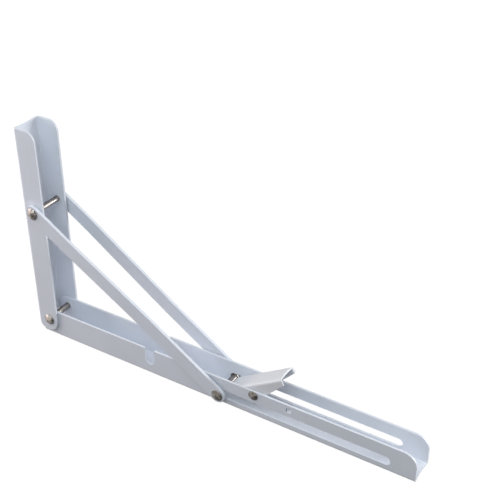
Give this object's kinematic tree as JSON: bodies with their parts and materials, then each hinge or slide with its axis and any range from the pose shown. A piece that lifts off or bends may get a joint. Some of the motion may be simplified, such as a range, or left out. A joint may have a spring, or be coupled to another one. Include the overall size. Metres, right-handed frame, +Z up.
{
  "type": "folding shelf bracket",
  "caption": "Folding shelf bracket: a channel wall leg and a slotted shelf arm joined by sliding struts, with a sprung thumb lever that releases the fold.",
  "frame": {"origin": "where the wall plane meets the shelf plane, at the middle of the bracket's width", "axes": "+X along the shelf arm away from the wall, +Y across the width, +Z up the wall leg; the shelf plane is z = 0 and the wall plane is x = 0"},
  "size_m": [0.3, 0.035, 0.165],
  "materials": {
    "coated_sheet": "satin white-grey powder coat on folded sheet steel",
    "coated_bar": "satin white-grey powder coat on flat bar",
    "coated_lever": "satin white-grey powder coat on folded sheet steel",
    "rivet_steel": "turned steel, slightly dull",
    "pin_steel": "turned steel, slightly dull",
    "washer_steel": "zinc plated steel",
    "spring_steel": "drawn spring wire"
  },
  "bodies": {
    "wall_leg": {"wall_leg": "coated_sheet", "main_pivot_rivet": "rivet_steel", "upper_washer_left": "washer_steel", "upper_washer_right": "washer_steel"},
    "arm": {"shelf_arm": "coated_sheet", "lever_rivet": "rivet_steel", "lever_washer_left": "washer_steel", "lever_washer_right": "washer_steel", "lever_spring": "spring_steel"},
    "struts": {"left_strut": "coated_bar", "right_strut": "coated_bar", "upper_rivet": "rivet_steel", "slide_head_left": "pin_steel", "slide_head_right": "pin_steel"},
    "slide_pin": {"slide_pin": "pin_steel", "slide_washer_left": "washer_steel", "slide_washer_right": "washer_steel"},
    "lever": {"release_lever": "coated_lever"}
  },
  "joints": [
    {"name": "fold", "type": "hinge", "parent": "wall_leg", "child": "arm", "pos_m": [0.0108, 0, 0.014], "axis": [0, -1, 0], "range_deg": [0, 90]},
    {"name": "strut_swing", "type": "hinge", "parent": "wall_leg", "child": "struts", "pos_m": [0.0112, 0, 0.1048], "axis": [0, -1, 0], "range_deg": [0, 121.66]},
    {"name": "pin_slide", "type": "slide", "parent": "arm", "child": "slide_pin", "axis": [1, 0, 0], "range_m": [0, 0.11898]},
    {"name": "lever_press", "type": "hinge", "parent": "arm", "child": "lever", "pos_m": [0.184, 0, 0.018], "axis": [0, 1, 0], "range_deg": [0, 34], "stiffness_Nm_per_rad": 0.15, "springref_deg": -20.05, "deforming": ["lever_spring"]}
  ],
  "couplings": [
    {"joint": "strut_swing", "follows": "fold", "ratio": 1.3517},
    {"joint": "pin_slide", "follows": "fold", "m_per_rad": 0.075739}
  ]
}
